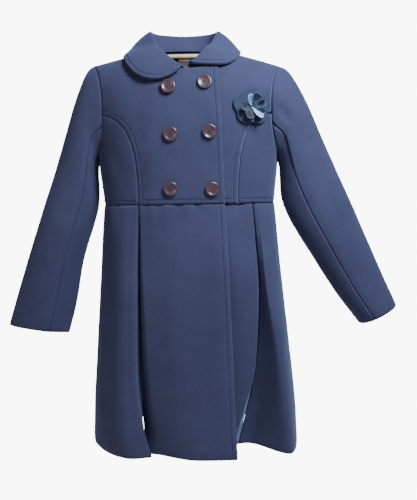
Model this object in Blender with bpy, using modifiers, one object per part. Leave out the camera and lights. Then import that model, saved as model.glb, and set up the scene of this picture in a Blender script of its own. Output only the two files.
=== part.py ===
"""A girl's double-breasted winter coat, hanging filled out on a round wooden hanger bar.

Metres, +Z up. The origin is the middle of the hanger bar. The coat's front faces -Y, so +X is the
wearer's left. Every cloth piece is a wall: a grid of points on its outer side, and the same grid
moved in by the cloth's thickness. Pieces stop a hair apart at their seams.
"""

import math

import bmesh
import bpy
import numpy as np
from mathutils import Vector

# Cloth
CLOTH = 0.0024  # thickness of the coating
SEAM = 0.0003  # distance between two pieces at a seam
NECK_SEAM = 0.0025  # the collar's curved edge stands this far above the neckline
LAP_GAP = 0.0010  # air between the overlap and the underlap

# Body of the coat
CENTRE_X = 0.0045  # the coat hangs a little to the wearer's left of the bar's middle
WAIST_Z = -0.255
ARMPIT_Z = -0.182
CHEST_Z = -0.105  # below this level a level ring is whole, above it the surface closes to the shoulders
HEM_Z = -0.668
ROUND = 2.4  # how square the body's rings are; 2 is an ellipse
CAP = 2.2  # how square the front and back close towards the shoulder ridge
FRONT_DEPTH = 0.086
BACK_DEPTH = 0.076
NECK_HALF = 0.065  # from the middle to the neck end of a shoulder seam
NECK_Z = 0.008
FRONT_NECK_Z = -0.036
BACK_NECK_Z = 0.010
SHOULDER_HALF = 0.1615
SHOULDER_FALL = {-1: 0.022, 1: 0.028}  # neck to shoulder point, wearer's right and left

# Half-width of a level ring, from the waist up
HALF_WIDTH_ROWS = [  # height, half-width
    (WAIST_Z, 0.1480),
    (-0.215, 0.1525),
    (ARMPIT_Z, 0.1565),
    (CHEST_Z, 0.165),
]
CAP_HALF_WIDTH = 0.178  # what the rings widen to at the shoulder ridge

# Armhole
ARMHOLE_REACH = 0.612  # how far it reaches forward and back, as a share of the body's depth
ARMHOLE_ROWS = [  # level above the chest, half-width of the armhole's edge
    (0.0, 0.1415),
    (0.25, 0.141),
    (0.5, 0.143),
    (0.7, 0.147),
    (0.85, 0.152),
    (0.95, 0.157),
    (1.0, SHOULDER_HALF),
]

# Front
NECK_STEP = math.radians(15)  # columns of the fronts, back and collar along the neckline
LAP_TURNS = 3.5  # the overlap and the underlap pass the middle by this many of them
LAP = NECK_HALF * math.sin(LAP_TURNS * NECK_STEP)
LAP_WAIST = 0.0600  # how far the overlap's edge has moved out at the waist
LAP_END = 0.056  # the overlap stands out as far as this past the middle on its own side
LAP_BLEND = 0.024
PRINCESS_ROWS = [  # height, distance of the princess seam from the middle
    (WAIST_Z, 0.0820),
    (-0.222, 0.0825),
    (-0.181, 0.0860),
    (-0.150, 0.0930),
    (-0.130, 0.1010),
    (-0.116, 0.1135),
    (CHEST_Z, 0.1415),
]

# Skirt: x and y of named places on a level section, at the shares of the skirt's length in SHARES.
# The sections start as the body's own ring at the waist.
SHARES = [0.0, 0.35, 0.65, 0.85, 1.0]
SKIRT_PLACES = {  # place: (x, y) in millimetres at each share; None means on the waist ring
    "lap_edge": [None, (70, -103), (73.5, -113), (75.5, -121), (78, -127)],
    "front_left_of_middle": [None, (26, -104), (24, -114), (22, -122), (20, -128)],
    "front_right_of_middle": [None, (-10, -101), (-10, -110), (-8, -117), (-4, -123)],
    "front_at_lap_end": [None, (-48, -97.5), (-44, -104), (-38, -108.5), (-30, -110)],
    "right_fold": [None, (-73, -94), (-69, -97.5), (-60, -99.5), (-47, -100)],
    "right_pleat_seam": [None, (-79, -74), (-80, -62), (-80, -68), (-73, -90)],
    "right_side_fold": [None, (-85, -95), (-88, -101), (-79, -105), (-60, -108)],
    "right_side_front": [None, (-113, -86), (-119, -96), (-115, -106), (-103, -114)],
    "right_side_mid": [None, (-142, -50), (-150, -60), (-153, -66), (-151, -66)],
    "right_side_seam": [None, (-155, 0), (-164, 0), (-170.5, 1), (-174.5, 4)],
    "right_back": [None, (-121, 68), (-128, 80), (-132, 88), (-135, 93)],
    "back_middle": [None, (5, 91), (6, 102), (6, 109), (6, 114)],
    "left_back": [None, (131, 68), (140, 80), (145, 88), (148, 93)],
    "left_side_seam": [None, (164.5, 0), (176, 0), (182.5, -2), (184.5, -6)],
    "left_side_mid": [None, (158, -46), (173, -52), (179.5, -58), (182, -64)],
    "left_side_fold": [None, (133, -88), (153, -96), (158, -101), (163, -106)],
    "left_underlay": [None, (125, -76), (130, -72), (120, -60), (106, -50)],
    "left_pleat_seam": [None, (119.5, -70), (113, -62), (97, -55), (82, -54)],
    "left_fold": [None, (117, -88), (112, -92), (87, -93), (70, -92)],
    "underlap_mid": [None, (50, -94), (44, -98), (34, -101), (24, -101)],
    "underlap_far": [None, (0, -94.5), (-2, -98), (-6, -100), (-8, -100)],
    "underlap_edge": [None, (-48, -90), (-48, -92), (-43, -92), (-36, -92)],
}
WAIST_PLACES = {  # place: (distance from the middle at the waist, how far in from the ring)
    "lap_edge": (LAP_WAIST, 0),
    "front_left_of_middle": (0.0210, 0),
    "front_right_of_middle": (-0.0180, 0),
    "front_at_lap_end": (-0.0560, 0),
    "right_fold": (-0.0812, 0),
    "right_pleat_seam": (-0.0820, 0.0050),
    "right_side_fold": (-0.0828, 0),
    "right_side_front": (-0.1120, 0),
    "right_side_mid": (-0.1370, 0),
    "left_side_mid": (0.1400, 0),
    "left_side_fold": (0.1180, 0),
    "left_underlay": (0.1100, 0.0020),
    "left_pleat_seam": (0.1080, 0.0050),
    "left_fold": (0.1072, 0),
    "underlap_mid": (0.0480, 0),
    "underlap_far": (0.0, 0),
    "underlap_edge": (-LAP, 0),
}

# Sleeves: outer and inner points of each ring, and its half-depth, from the armhole to the cuff
SLEEVE_RINGS = {  # side: rows of outer x, outer z, inner x, inner z, half-depth, y of the middle (mm)
    -1: [
        (-164.5, -19, -153, -188, 46.5, -3),
        (-174.5, -38, -153.8, -197, 46, -3),
        (-187, -68, -153.5, -209, 45.5, -3),
        (-200, -109, -152, -226, 45, -3),
        (-216, -160, -151.5, -246, 43.5, -4),
        (-233.5, -212, -155, -267, 42, -5),
        (-252.5, -264, -164, -294, 41, -7),
        (-272.5, -325, -184, -352, 38, -9),
        (-291, -380, -191.5, -407, 31, -10),
        (-306.5, -428, -202, -447, 27, -12),
        (-316, -459, -210, -476, 25, -13),
    ],
    1: [
        (176, -24, 161.8, -189, 46.5, -3),
        (188, -40, 163, -199, 46, -3),
        (203.5, -66, 163.5, -215, 45.5, -3),
        (222, -106, 163.5, -240, 45, -3),
        (243.5, -158, 168.5, -262, 44, -4),
        (266, -210, 180.5, -289, 42.5, -5),
        (290, -263, 196, -314, 41.5, -7),
        (316, -327, 229.5, -370, 40, -9),
        (341.5, -386, 262, -420, 39.5, -10),
        (355, -416, 284.5, -450, 39.5, -12),
        (363, -434, 298, -468, 39.5, -13),
    ],
}
SLEEVE_ROUND = 2.1
UNDER_SLEEVE_AT = 0.36  # the two sleeve seams, as a share of the way up the armhole from its bottom
CREASE_DEPTH = {-1: [0, 0, 0, 0, 0, 0, 0.25, 0.6, 1, 1, 1], 1: [0] * 11}  # flattened inside face

# Collar, wearer's right half, from the front end to the middle of the back (mm from the middle).
# Each row: along = -1 at the front middle, 0 at the shoulder seam, 1 at the back middle;
# roll is the top of the fold, edge is the outer edge of the leaf.
COLLAR_RIGHT = [  # along, roll x, roll y, roll z, edge x, edge y, edge z
    (-1.00, -3, -77, -28.5, -6, -83, -38),
    (-0.80, -20, -65, -21, -24, -86, -50.5),
    (-0.60, -35, -50, -7, -46, -82, -56),
    (-0.40, -46, -35, 10, -70, -71, -52),
    (-0.20, -54, -20, 30, -90, -48, -36),
    (0.00, -60, -4, 44, -99, -16, -9),
    (0.25, -59, 14, 46, -96, 14, 5),
    (0.50, -49, 33, 46.5, -80, 44, 2),
    (0.75, -28, 45, 46.5, -45, 63, -8),
    (1.00, 0, 50, 45.5, 0, 70, -12),
]
COLLAR_LEFT = [  # the left front's end stands higher, behind the top of the overlap
    (-1.00, 10, -70.5, -23, 12, -75, -28),
    (-0.80, 22, -60, -20, 24, -77, -29),
    (-0.60, 32, -47, -7, 44, -76, -31),
    (-0.40, 43, -34, 11, 66, -66, -34),
    (-0.20, 52, -20, 30, 86, -46, -27),
    (0.00, 57, -4, 43, 96.5, -16, -4),
    (0.25, 57, 14, 45.5, 95, 14, 7),
    (0.50, 48, 33, 46.5, 80, 44, 2),
    (0.75, 28, 45, 46.5, 45, 63, -8),
    (1.00, 0, 50, 45.5, 0, 70, -12),
]

# Trims
BUTTON_RADIUS = 0.012
BUTTON_THICK = 0.0036
BUTTONS = [  # x and z of the six buttons, top row first, wearer's right then left
    (-0.0240, -0.0650),
    (0.0345, -0.0590),
    (-0.0216, -0.1410),
    (0.0410, -0.1380),
    (-0.0230, -0.2290),
    (0.0440, -0.2305),
]
FLOWER_X = 0.110
FLOWER_Z = -0.097
PETAL_SEAT = 0.0035  # height of the upper petals' roots, just over the lower layer
PETAL_ROOT = 0.0062  # distance of the upper petals' roots from the flower's middle
PETALS = [  # direction clockwise from up and half-spread in degrees, reach, height of the tip (m)
    (25, 24, 0.0220, 0.0125),
    (75, 22, 0.0215, 0.0125),
    (128, 28, 0.0230, 0.0115),
    (205, 28, 0.0220, 0.0125),
    (265, 26, 0.0215, 0.0125),
]
HEART_ROOT = 0.0015
HEARTS = [  # the two pale folded petals, in the same terms
    (-28, 20, 0.0185, 0.0185),
    (147, 15, 0.0225, 0.0195),
]
LABEL_HALF = 0.0155
LABEL_TOP = 0.004
LABEL_HEIGHT = 0.018
LABEL_THICK = 0.0008
LABEL_GAP = 0.0012
BAR_RADIUS = 0.00375
BAR_STRAIGHT = 0.060  # half the bar's level stretch
BAR_REACH = 0.147


# Curves through rows


def curve(xs, ys, x):
    """A smooth curve through (xs, ys) with no overshoot, read at x. ys may hold points."""
    xs, ys = np.asarray(xs, float), np.asarray(ys, float)
    x = min(max(x, xs[0]), xs[-1])
    k = min(int(np.searchsorted(xs, x, side="right")) - 1, len(xs) - 2)
    step = np.diff(xs)
    slope = np.diff(ys, axis=0) / (step if ys.ndim == 1 else step[:, None])
    tangent = np.empty_like(ys)
    tangent[0], tangent[-1] = slope[0], slope[-1]
    steep = np.where(slope[:-1] * slope[1:] > 0, 1.0, 0.0)
    both = 2 * slope[:-1] * slope[1:] / np.where(slope[:-1] + slope[1:] == 0, 1, slope[:-1] + slope[1:])
    tangent[1:-1] = steep * both
    t = (x - xs[k]) / step[k]
    return (
        (2 * t**3 - 3 * t**2 + 1) * ys[k]
        + (t**3 - 2 * t**2 + t) * step[k] * tangent[k]
        + (3 * t**2 - 2 * t**3) * ys[k + 1]
        + (t**3 - t**2) * step[k] * tangent[k + 1]
    )


def table(rows, x):
    """The second column of a table at x, read as a smooth curve over its first column."""
    return float(curve([r[0] for r in rows], [r[1] for r in rows], x))


def through(points, counts):
    """A smooth line through points, with that many steps between each two."""
    points = [np.asarray(p, float) for p in points]
    padded = [2 * points[0] - points[1], *points, 2 * points[-1] - points[-2]]
    line = []
    for k, count in enumerate(counts):
        before, a, b, after = padded[k : k + 4]
        length = np.linalg.norm(b - a)
        start = (b - before) / (np.linalg.norm(a - before) + length) * length
        end = (after - a) / (length + np.linalg.norm(after - b)) * length
        for i in range(count):
            t = i / count
            line.append(
                (2 * t**3 - 3 * t**2 + 1) * a
                + (t**3 - 2 * t**2 + t) * start
                + (3 * t**2 - 2 * t**3) * b
                + (t**3 - t**2) * end
            )
    return [*line, points[-1]]


# The body's surface


def ridge(x):
    """Height of the shoulder ridge."""
    off = x - CENTRE_X
    side = 1 if off > 0 else -1
    slope = SHOULDER_FALL[side] / (SHOULDER_HALF - NECK_HALF)
    return NECK_Z - slope * max(abs(off) - NECK_HALF, -0.02)


def ring_half_width(level):
    """Half-width of the ring at a level: -1 at the waist, 0 at the chest, 1 at the ridge."""
    if level <= 0:
        return table(HALF_WIDTH_ROWS, CHEST_Z + level * (CHEST_Z - WAIST_Z))
    chest = HALF_WIDTH_ROWS[-1][1]
    return chest + (CAP_HALF_WIDTH - chest) * math.sin(level * math.pi / 2)


def body(off, level, back=False):
    """The point of the body's outer surface at a distance from the middle and a level."""
    wide = ring_half_width(level)
    depth = BACK_DEPTH if back else FRONT_DEPTH
    share = max(0.0, 1 - (abs(off) / wide) ** ROUND)
    y = depth * share ** (1 / ROUND) * (1 if back else -1)
    x = CENTRE_X + off
    if level <= 0:
        return np.array([x, y, CHEST_Z + level * (CHEST_Z - WAIST_Z)])
    closing = max(0.0, 1 - level**CAP) ** (1 / ROUND)
    return np.array([x, y * closing, CHEST_Z + (ridge(x) - CHEST_Z) * level])


def angle_of(off, level):
    """The place on a ring as an angle, 0 in the middle and 90 degrees at its side."""
    share = min(1.0, abs(off) / ring_half_width(level))
    return math.copysign(math.asin(share ** (ROUND / 2)), off)


def off_of(angle, level):
    return math.copysign(ring_half_width(level) * abs(math.sin(angle)) ** (2 / ROUND), angle)


def outside(point):
    """Roughly how far a point lies outside the body, and the way out, above the waist."""

    def value(p):
        off, z = p[0] - CENTRE_X, p[2]
        depth = BACK_DEPTH if p[1] > 0 else FRONT_DEPTH
        level = (z - CHEST_Z) / (ridge(p[0]) - CHEST_Z) if z > CHEST_Z else 0.0
        wide = ring_half_width(min(level, 1.0) if z > CHEST_Z else (z - CHEST_Z) / (CHEST_Z - WAIST_Z))
        across = (abs(off) / wide) ** ROUND
        return across + (abs(p[1]) / depth) ** ROUND + max(level, 0.0) ** CAP * max(0.0, 1 - across)

    step = 1e-5
    here = value(point)
    slope = np.array([(value(point + d) - value(point - d)) / (2 * step) for d in np.eye(3) * step])
    size = np.linalg.norm(slope)
    return (here - 1) / size, slope / size


def kept_clear(point, clear):
    """The point, pushed out until it lies that far outside the body."""
    point = np.array(point, float)
    for _ in range(6):
        far, way = outside(point)
        if far >= clear:
            break
        point = point + way * (clear - far)
    return point


def neck_level(off, back):
    """The level of the neckline at a distance from the middle."""
    middle = BACK_NECK_Z if back else FRONT_NECK_Z
    share = min(1.0, abs(off) / NECK_HALF)
    rise = 1 - math.sqrt(max(0.0, 1 - share**2.2))
    z = middle + (NECK_Z - middle) * rise
    return min(1.0, (z - CHEST_Z) / (ridge(CENTRE_X + off) - CHEST_Z))


def top_level(off, back):
    return 1.0 if abs(off) >= NECK_HALF else neck_level(off, back)


def lap_lift(x):
    """How far the overlap stands out over the underlap."""
    t = (x - (CENTRE_X - LAP_END - LAP_BLEND)) / LAP_BLEND
    t = min(1.0, max(0.0, t))
    return (CLOTH + LAP_GAP) * t * t * (3 - 2 * t)


# Rows of the bodice: levels from the waist to the chest, then shares of the way to the top
LOW_LEVELS = [
    -1 + (WAIST_Z - z) / (WAIST_Z - CHEST_Z) for z in (WAIST_Z, -0.231, -0.2065)
]
ARMHOLE_TURNS = [math.radians(a) for a in (0, 24, 44, 61, 76)]
ARM_LEVELS = [-(CHEST_Z - ARMPIT_Z) / (CHEST_Z - WAIST_Z) * math.cos(a) for a in ARMHOLE_TURNS]
ARM_LEVELS += [-0.05, -0.012]  # close rows where the princess seam runs into the armhole
TOP_SHARES = [0.0, 0.2, 0.4, 0.58, 0.74, 0.86, 0.95, 1.0]


def armhole_off(level):
    """Half-width of the armhole's edge at a level from the armpit up."""
    if level > 0:
        return table(ARMHOLE_ROWS, level)
    turn = math.acos(min(1.0, -level * (CHEST_Z - WAIST_Z) / (CHEST_Z - ARMPIT_Z)))
    reach = ARMHOLE_REACH * math.sin(turn)
    return ring_half_width(level) * (1 - reach**ROUND) ** (1 / ROUND)


def side_off(level):
    """Half-width of the bodice's own cloth at a level: the side seam, then the armhole's edge."""
    if level <= ARM_LEVELS[0] + 1e-9:
        return ring_half_width(level)
    return armhole_off(level)


def princess_off(level):
    return table(PRINCESS_ROWS, CHEST_Z + level * (CHEST_Z - WAIST_Z))


def ring_row(start, end, level, shares, back=False):
    """Points of one row between two distances from the middle, spaced by angle."""
    a, b = angle_of(start, level), angle_of(end, level)
    return [body(off_of(a + (b - a) * s, level), level, back) for s in shares]


def top_row(start, end, share, places, back=False):
    """One row above the chest. Its level at each place is a share of the way to the top edge."""
    row = []
    for s in places:
        off = start + (end - start) * s
        row.append(body(off, share * top_level(off, back), back))
    return row


# Cloth pieces


class Piece:
    """One cut piece: a grid of outer points, rows from the top down, columns to the wearer's right."""

    def __init__(self, name, rows, material, outward=1, thick=CLOTH):
        self.name = name
        self.points = np.array(rows, float)
        self.material = material
        self.thick = thick
        p = self.points
        across = np.diff(p, axis=1)
        down = np.diff(p, axis=0)
        faces = np.cross(
            across[:-1] + across[1:], down[:, :-1] + down[:, 1:]
        ) * outward
        faces /= np.maximum(np.linalg.norm(faces, axis=2, keepdims=True), 1e-12)
        self.normals, least = np.zeros_like(p), np.ones(p.shape[:2])
        for i in (0, 1):
            for j in (0, 1):
                self.normals[i : i + len(faces), j : j + faces.shape[1]] += faces
        self.normals /= np.linalg.norm(self.normals, axis=2, keepdims=True)
        for i in (0, 1):
            for j in (0, 1):
                part = self.normals[i : i + len(faces), j : j + faces.shape[1]]
                near = least[i : i + len(faces), j : j + faces.shape[1]]
                np.minimum(near, (part * faces).sum(axis=2), out=near)
        self.reach = 1 / np.clip(least, 0.72, 1)  # a corner's inner point lies further in
        self.folded = np.zeros(p.shape[:2])  # 1 where a neighbour's outer side faces this one's

    def edge_indices(self):
        rows, columns = self.points.shape[:2]
        for i in range(rows):
            for j in range(columns):
                if i in (0, rows - 1) or j in (0, columns - 1):
                    yield i, j

    def grids(self, seams):
        """The outer and inner grids, with the seam edges drawn back by half the seam's gap."""
        outer = self.points.copy()
        rows, columns = outer.shape[:2]
        ways = {
            "top": ((0, slice(None)), (1, slice(None))),
            "bottom": ((rows - 1, slice(None)), (rows - 2, slice(None))),
            "left": ((slice(None), 0), (slice(None), 1)),
            "right": ((slice(None), columns - 1), (slice(None), columns - 2)),
        }
        shift = np.zeros_like(outer)
        for edge in seams:
            at, beside = ways[edge.rstrip("~")]
            if edge.endswith("~"):  # a folded seam: the two outer sides face each other
                shift[at] -= self.normals[at] * SEAM / 2
            else:
                way = outer[beside] - outer[at]
                size = np.linalg.norm(way, axis=1, keepdims=True)
                shift[at] += way / np.maximum(size, 1e-9) * np.minimum(SEAM / 2, size / 4)
        outer += shift - self.normals * (self.folded * SEAM / 2)[..., None]
        return outer, outer - self.normals * (self.thick * self.reach)[..., None]


def share_normals(pieces):
    """Gives the points that two pieces share one common way in, so that their walls stay apart."""
    found = {}
    for piece in pieces:
        for i, j in piece.edge_indices():
            key = tuple(np.round(piece.points[i, j], 6))
            found.setdefault(key, []).append((piece, i, j))
    for group in found.values():
        normals = [p.normals[i, j].copy() for p, i, j in group]
        for (piece, i, j), own in zip(group, normals):
            near = [n for n in normals if float(n @ own) > 0.0]
            common = sum(near) / np.linalg.norm(sum(near))
            piece.folded[i, j] = len(near) < len(group)
            piece.normals[i, j] = common
            piece.reach[i, j] = max(1 / max(0.72, float(common @ n)) for n in near)


def new_object(name, bm, material, collection):
    bmesh.ops.recalc_face_normals(bm, faces=bm.faces[:])
    mesh = bpy.data.meshes.new(name)
    bm.to_mesh(mesh)
    bm.free()
    mesh.shade_smooth()
    mesh.set_sharp_from_angle(angle=math.radians(50))
    obj = bpy.data.objects.new(name, mesh)
    obj.data.materials.append(material)
    collection.objects.link(obj)
    return obj


def wall(name, outer, inner, material, collection, seats=None):
    """A closed wall between two grids of points. The rim's triangles lean the same way on two
    pieces that share a seam, because both read the seam's own points, in seats."""
    seats = outer if seats is None else seats
    bm = bmesh.new()
    rows, columns = outer.shape[:2]
    near = [[bm.verts.new(p) for p in row] for row in outer]
    far = [[bm.verts.new(p) for p in row] for row in inner]
    for i in range(rows - 1):
        for j in range(columns - 1):
            for g, turn in ((near, 1), (far, -1)):
                bm.faces.new([g[i][j], g[i][j + 1], g[i + 1][j + 1], g[i + 1][j]][::turn])
    ring = (
        [(0, j) for j in range(columns - 1)]
        + [(i, columns - 1) for i in range(rows - 1)]
        + [(rows - 1, j) for j in range(columns - 1, 0, -1)]
        + [(i, 0) for i in range(rows - 1, 0, -1)]
    )
    for a, b in zip(ring, ring[1:] + ring[:1]):
        if tuple(np.round(seats[a], 5))[::-1] < tuple(np.round(seats[b], 5))[::-1]:
            a, b = b, a
        (i, j), (k, m) = a, b
        bm.faces.new([near[i][j], near[k][m], far[k][m]])
        bm.faces.new([near[i][j], far[k][m], far[i][j]])
    return new_object(name, bm, material, collection)


def material(name, colour, roughness):
    made = bpy.data.materials.new(name)
    made.use_nodes = True
    shader = made.node_tree.nodes["Principled BSDF"]
    shader.inputs["Base Color"].default_value = (*colour, 1)
    shader.inputs["Roughness"].default_value = roughness
    shader.inputs["Metallic"].default_value = 0
    return made


# Bodice


def bodice_front(side, waist_off, name, cloth):
    """A front, from its free edge to the princess seam, and above the chest to the armhole."""
    turns = [-LAP_TURNS, *range(-3, 7)]
    neck = [side * NECK_HALF * math.sin(t * NECK_STEP) for t in turns]
    shoulder = [side * (NECK_HALF + (SHOULDER_HALF - NECK_HALF) * k / 6) for k in range(1, 7)]
    top = [*neck, *shoulder]
    steps = [(off - top[0]) / (top[-1] - top[0]) for off in top]
    rows = []
    for level in [*reversed(TOP_SHARES), *reversed(LOW_LEVELS + ARM_LEVELS)]:
        edge = top[0] + (-side * waist_off - top[0]) * (1 - level) / 2
        end = side * (armhole_off(level) if level >= 0 else princess_off(level))
        if level > 0:
            rows.append(top_row(edge, end, level, steps))
        else:
            rows.append([body(edge + (end - edge) * s, level) for s in steps])
    return Piece(name, rows, cloth, outward=-side)


def bodice_side(side, name, cloth):
    """A side front, from the princess seam to the side seam and the armhole."""
    steps = [k / 5 for k in range(6)]
    rows = []
    for level in reversed(LOW_LEVELS + ARM_LEVELS):
        rows.append(
            ring_row(side * princess_off(level), side * side_off(level), level, steps)
        )
    return Piece(name, rows, cloth, outward=-side)


def bodice_back(cloth):
    """The back, from the wearer's left side seam round to the right one."""
    neck = [NECK_HALF * math.sin(t * NECK_STEP) for t in range(-6, 7)]
    shoulder = [NECK_HALF + (SHOULDER_HALF - NECK_HALF) * k / 6 for k in range(1, 7)]
    top = [*[-off for off in reversed(shoulder)], *neck, *shoulder]
    steps = [(off / SHOULDER_HALF + 1) / 2 for off in top]
    rows = []
    for share in reversed(TOP_SHARES[1:]):
        end = armhole_off(share)
        rows.append(top_row(end, -end, share, steps, back=True))
    for level in [0.0, *reversed(LOW_LEVELS + ARM_LEVELS)]:
        end = side_off(level)
        rows.append(ring_row(end, -end, level, steps, back=True))
    return Piece("bodice_back", rows, cloth, outward=-1)


def lifted(piece):
    """The overlap's points, moved out over the underlap."""
    for i, j in np.ndindex(piece.points.shape[:2]):
        piece.points[i, j] += piece.normals[i, j] * lap_lift(piece.points[i, j, 0])
    return piece


# Skirt


def waist_point(off, inset, lift):
    here = body(off, -1.0)
    beside = body(off + 0.001, -1.0)
    way = beside - here
    out = np.array([way[1], -way[0], 0]) / np.linalg.norm(way)
    return here + out * (lift - inset)


def skirt_places(share):
    """Every named place of the section at a share of the skirt's length."""
    places = {}
    for name, row in SKIRT_PLACES.items():
        if name in WAIST_PLACES:
            off, inset = WAIST_PLACES[name]
            lift = lap_lift(CENTRE_X + off) if name.startswith(("lap", "front")) else 0
            first = waist_point(off, inset, lift)
        elif name.endswith("side_seam"):
            first = body(math.copysign(ring_half_width(-1), row[1][0]), -1.0)
        else:
            offs = {"right_back": -0.112, "back_middle": 0.0, "left_back": 0.112}
            first = body(offs[name], -1.0, back=True)
        line = [first[:2] * 1000, *row[1:]]
        x, y = curve(SHARES, line, share) / 1000
        places[name] = np.array([x, y])
    return places


def fold_corner(before, corner, after, radius):
    """Three points that round a folded edge."""
    a = (before - corner) / np.linalg.norm(before - corner)
    b = (after - corner) / np.linalg.norm(after - corner)
    room = min(radius, 0.4 * np.linalg.norm(before - corner), 0.4 * np.linalg.norm(after - corner))
    return [corner + a * room, corner + (a + b) * room * 0.22, corner + b * room]


def skirt_section(share):
    """The five panels' outer points on one level, as lists of (x, y)."""
    p = skirt_places(share)
    names = ["lap_edge", "front_left_of_middle", "front_right_of_middle", "front_at_lap_end", "right_fold"]
    front = through([p[n] for n in names], [3, 3, 3, 3])
    corner = fold_corner(front[-2], p["right_fold"], p["right_pleat_seam"], 0.004)
    leg = [corner[2] + (p["right_pleat_seam"] - corner[2]) * k / 3 for k in (1, 2, 3)]
    right = [*front[:-1], *corner, *leg]
    names = ["right_side_fold", "right_side_front", "right_side_mid", "right_side_seam", "right_back",
             "back_middle", "left_back", "left_side_seam", "left_side_mid", "left_side_fold",
             "left_underlay", "left_pleat_seam"]
    around = through([p[n] for n in names], [3, 3, 3, 4, 7, 7, 4, 3, 4, 3, 2])
    corner = fold_corner(p["right_pleat_seam"], p["right_side_fold"], around[1], 0.004)
    start = p["right_pleat_seam"]
    leg = [start + (corner[0] - start) * k / 3 for k in (0, 1, 2)]
    side_right = [*leg, *corner, *around[1:10]]
    back = around[9:32]
    side_left = around[31:]
    last = through([p["left_fold"], p["underlap_mid"], p["underlap_far"], p["underlap_edge"]], [4, 3, 3])
    corner = fold_corner(p["left_pleat_seam"], p["left_fold"], last[1], 0.004)
    start = p["left_pleat_seam"]
    leg = [start + (corner[0] - start) * k / 3 for k in (0, 1, 2)]
    return {
        "skirt_front_right": right,
        "skirt_side_right": side_right,
        "skirt_back": back,
        "skirt_side_left": side_left,
        "skirt_front_left": [*leg, *corner, *last[1:]],
    }


def skirt(cloth):
    shares = [k / 14 for k in range(15)]
    sections = [skirt_section(s) for s in shares]
    pieces = []
    for name in sections[0]:
        rows = []
        for share, section in zip(shares, sections):
            z = WAIST_Z + (HEM_Z - WAIST_Z) * share
            rows.append([(x, y, z) for x, y in section[name]])
        piece = Piece(name, rows, cloth)
        piece.normals[:, :, 2] = 0
        piece.normals /= np.linalg.norm(piece.normals, axis=2, keepdims=True)
        pieces.append(piece)
    return pieces


# Sleeves


def armhole_loop(side):
    """The armhole's edge from its bottom, up the front, over the shoulder and down the back."""
    low = [(armhole_off(v), v) for v in ARM_LEVELS]
    high = [(armhole_off(s), s) for s in TOP_SHARES]
    front = [body(side * off, level) for off, level in low + high]
    back = [body(side * off, level, back=True) for off, level in low + high]
    return front, back


def half_turns(points):
    """The share of the way along each point, from 0 to 1."""
    steps = [np.linalg.norm(b - a) for a, b in zip(points, points[1:])]
    return np.concatenate([[0], np.cumsum(steps)]) / sum(steps)


def sleeve_ring(row, turns, forward, crease):
    """Half of a sleeve's ring, from its inner point to its outer point."""
    ox, oz, ix, iz, depth, mid_y = [v / 1000 for v in row]
    middle = np.array([(ox + ix) / 2, mid_y, (oz + iz) / 2])
    across = np.array([ox - ix, 0, oz - iz]) / 2
    points = []
    for t in turns:
        angle = math.pi * t
        a = -math.cos(angle)
        b = math.sin(angle) ** (2 / SLEEVE_ROUND)
        a = math.copysign(abs(a) ** (2 / SLEEVE_ROUND), a)
        if forward and crease and a < -0.42:
            cut = 0.90 - 0.86 * (-0.42 - a) / 0.58
            b = b + (min(b, cut) - b) * crease
        points.append(middle + across * a + np.array([0, depth * b * (-1 if forward else 1), 0]))
    return points


def sleeve(side, names, cloth):
    """A two-piece sleeve: the upper sleeve over the arm, and the under sleeve inside it."""
    front, back = armhole_loop(side)
    turns_front, turns_back = half_turns(front), half_turns(back)
    rings = [(front, back)]
    for row, crease in zip(SLEEVE_RINGS[side], CREASE_DEPTH[side]):
        rings.append(
            (sleeve_ring(row, turns_front, True, crease), sleeve_ring(row, turns_back, False, 0))
        )
    at = int(np.argmin(abs(turns_front - UNDER_SLEEVE_AT)))
    upper = [[*f[at:], *reversed(b[at:-1])] for f, b in rings]
    under = [[*reversed(b[1 : at + 1]), *f[: at + 1]] for f, b in rings]
    return [
        Piece(names[0], upper, cloth, outward=-side),
        Piece(names[1], under, cloth, outward=-side),
    ]


# Collar


def neck_point(along, side, lower=0.0):
    """The outer point of the neckline: -1 is the front middle, 0 the shoulder seam, 1 the back."""
    back = along > 0
    off = side * NECK_HALF * math.sin((1 - abs(along)) * math.pi / 2)
    point = body(off, neck_level(off, back) - lower, back)
    if side < 0 and not back:
        point = point + outside(point)[1] * lap_lift(point[0])
    return point


def collar_column(along, side, roll, edge):
    """Underside points of the collar on one line, from the neck seam over the roll to the edge."""
    seam = neck_point(along, side)
    below = neck_point(along, side, 0.05)
    rise = seam - below
    rise[1] *= min(1.0, 2 * abs(along))  # straight up where the shoulder seam meets the neck
    seam = seam + rise / np.linalg.norm(rise) * NECK_SEAM
    roll, edge = np.array(roll), np.array(edge)
    roll[0] += CENTRE_X * 0.5
    out = edge - seam
    out[2] = 0
    out /= np.linalg.norm(out)
    top = roll - np.array([0, 0, CLOTH])
    bend = 0.0032
    before = top - out * bend - np.array([0, 0, 0.0022])
    after = top + out * bend - np.array([0, 0, 0.0022])
    stand = seam * 0.5 + before * 0.5 + out * 0.0006
    size = np.linalg.norm(edge - after)
    swell = np.cross(np.cross(out, [0, 0, 1]), (edge - after) / size)
    swell = swell / np.linalg.norm(swell)
    if swell[2] < 0:
        swell = -swell
    fall = [after + (edge - after) * s + swell * size * 0.07 * math.sin(s * math.pi) for s in (0.35, 0.7)]
    line = through([seam, stand, before, top, after, *fall, edge], [1, 1, 1, 1, 2, 2, 1])
    on_lap = seam[1] < 0 and edge[0] < CENTRE_X + LAP + 0.015
    least = 0.0024 + (CLOTH + LAP_GAP) * on_lap
    return line[:3] + [kept_clear(p, least) for p in line[3:]]


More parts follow.
